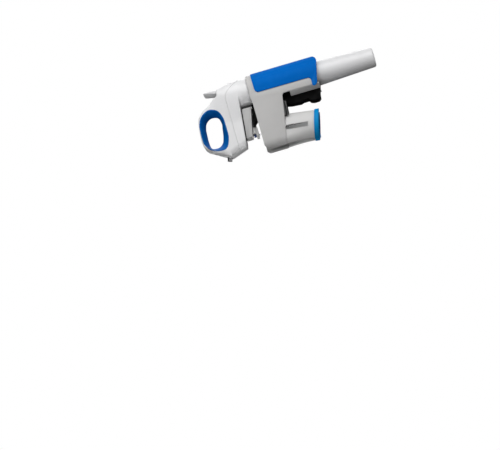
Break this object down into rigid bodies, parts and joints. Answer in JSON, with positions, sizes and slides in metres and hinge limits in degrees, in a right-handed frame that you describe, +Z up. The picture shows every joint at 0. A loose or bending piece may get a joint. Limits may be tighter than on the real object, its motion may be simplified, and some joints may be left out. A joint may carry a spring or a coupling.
{
  "type": "wine preservation dispenser",
  "caption": "Hand-held needle dispenser with a finger-loop handle, trigger, pouring spout and gas capsule tube, sliding on a two-arm clamp that grips a bottle's neck.",
  "frame": {"origin": "middle of the bottle's mouth, where the needle enters it", "axes": "+Z up the needle line to the handle, -Y to the spout side, +Y to the gas tube side, X across; the left and right halves mirror each other about X = 0"},
  "size_m": [0.0398, 0.0917, 0.2072],
  "materials": {
    "white_plastic": "satin white ABS",
    "white_trigger": "satin white ABS",
    "grey_plastic": "fine matt grey",
    "clamp_grey": "fine matt light grey",
    "shell_grey": "fine matt pale grey",
    "blue_rubber": "matt blue grip",
    "blue_liner": "satin blue",
    "blue_ring": "satin blue",
    "black_plastic": "matt black",
    "black_rubber": "matt black",
    "bush_plastic": "waxy dark acetal",
    "navy_plastic": "navy acetal",
    "inner_plastic": "natural acetal",
    "stainless": "fine brushed",
    "screw_steel": "turned steel",
    "spring_steel": "drawn wire",
    "nickel_brass": "nickel plate",
    "anodised": "clear anodised",
    "capsule_steel": "lacquered steel"
  },
  "bodies": {
    "chassis": {"chassis": "black_plastic", "upper_bush": "bush_plastic", "lower_bush": "bush_plastic", "stop_ring": "black_rubber", "hinge_pins": "screw_steel", "clamp_springs": "spring_steel", "needle_guide": "grey_plastic", "guide_bush": "navy_plastic"},
    "right_arm": {"right_panel": "clamp_grey", "right_grip_pad": "blue_rubber", "right_neck_shell": "shell_grey", "right_neck_ring": "blue_ring", "right_shell_screws": "screw_steel"},
    "left_arm": {"left_panel": "clamp_grey", "left_grip_pad": "blue_rubber", "left_neck_shell": "shell_grey", "left_neck_ring": "blue_ring", "left_shell_screws": "screw_steel"},
    "head": {"lower_housing": "white_plastic", "handle": "white_plastic", "loop_liner": "blue_liner", "manifold": "inner_plastic", "spout": "stainless", "valve_block": "grey_plastic", "block_screws": "screw_steel", "needle_hub": "nickel_brass", "needle": "stainless", "needle_seal": "black_rubber", "slide_tube": "white_plastic", "pierce_block": "anodised", "capsule_seal": "black_rubber", "pierce_pin": "screw_steel", "gas_pipe": "nickel_brass", "regulator_body": "anodised", "valve_spring": "spring_steel", "trigger_pin": "screw_steel"},
    "trigger": {"trigger": "white_trigger"},
    "valve_stem": {"valve_stem": "nickel_brass"},
    "cup": {"capsule_cup": "white_plastic", "cup_pad": "black_rubber", "argon_capsule": "capsule_steel"}
  },
  "joints": [
    {"name": "head_lift", "type": "slide", "parent": "chassis", "child": "head", "axis": [0, 0, 1], "range_m": [0, 0.06]},
    {"name": "right_arm_open", "type": "hinge", "parent": "chassis", "child": "right_arm", "pos_m": [0.0125, 0.025, -0.02], "axis": [0, 0, 1], "range_deg": [0, 3], "stiffness_Nm_per_rad": 0.2, "springref_deg": -5.73},
    {"name": "left_arm_open", "type": "hinge", "parent": "chassis", "child": "left_arm", "pos_m": [-0.0125, 0.025, -0.02], "axis": [0, 0, 1], "range_deg": [-3, 0]},
    {"name": "trigger_pull", "type": "hinge", "parent": "head", "child": "trigger", "pos_m": [0, 0.0555, 0.0245], "axis": [1, 0, 0], "range_deg": [0, 6]},
    {"name": "valve_push", "type": "slide", "parent": "head", "child": "valve_stem", "axis": [0, 0, -1], "range_m": [0, 0.00088], "stiffness_N_per_m": 5, "springref_m": -0.004, "deforming": ["valve_spring"]},
    {"name": "cup_turn", "type": "hinge", "parent": "head", "child": "cup", "pos_m": [0, 0.048, -0.07], "axis": [0, 0, 1], "range_deg": [0, 720]}
  ],
  "couplings": [
    {"joint": "left_arm_open", "follows": "right_arm_open", "ratio": -1},
    {"joint": "trigger_pull", "follows": "valve_push", "rad_per_m": 119}
  ]
}
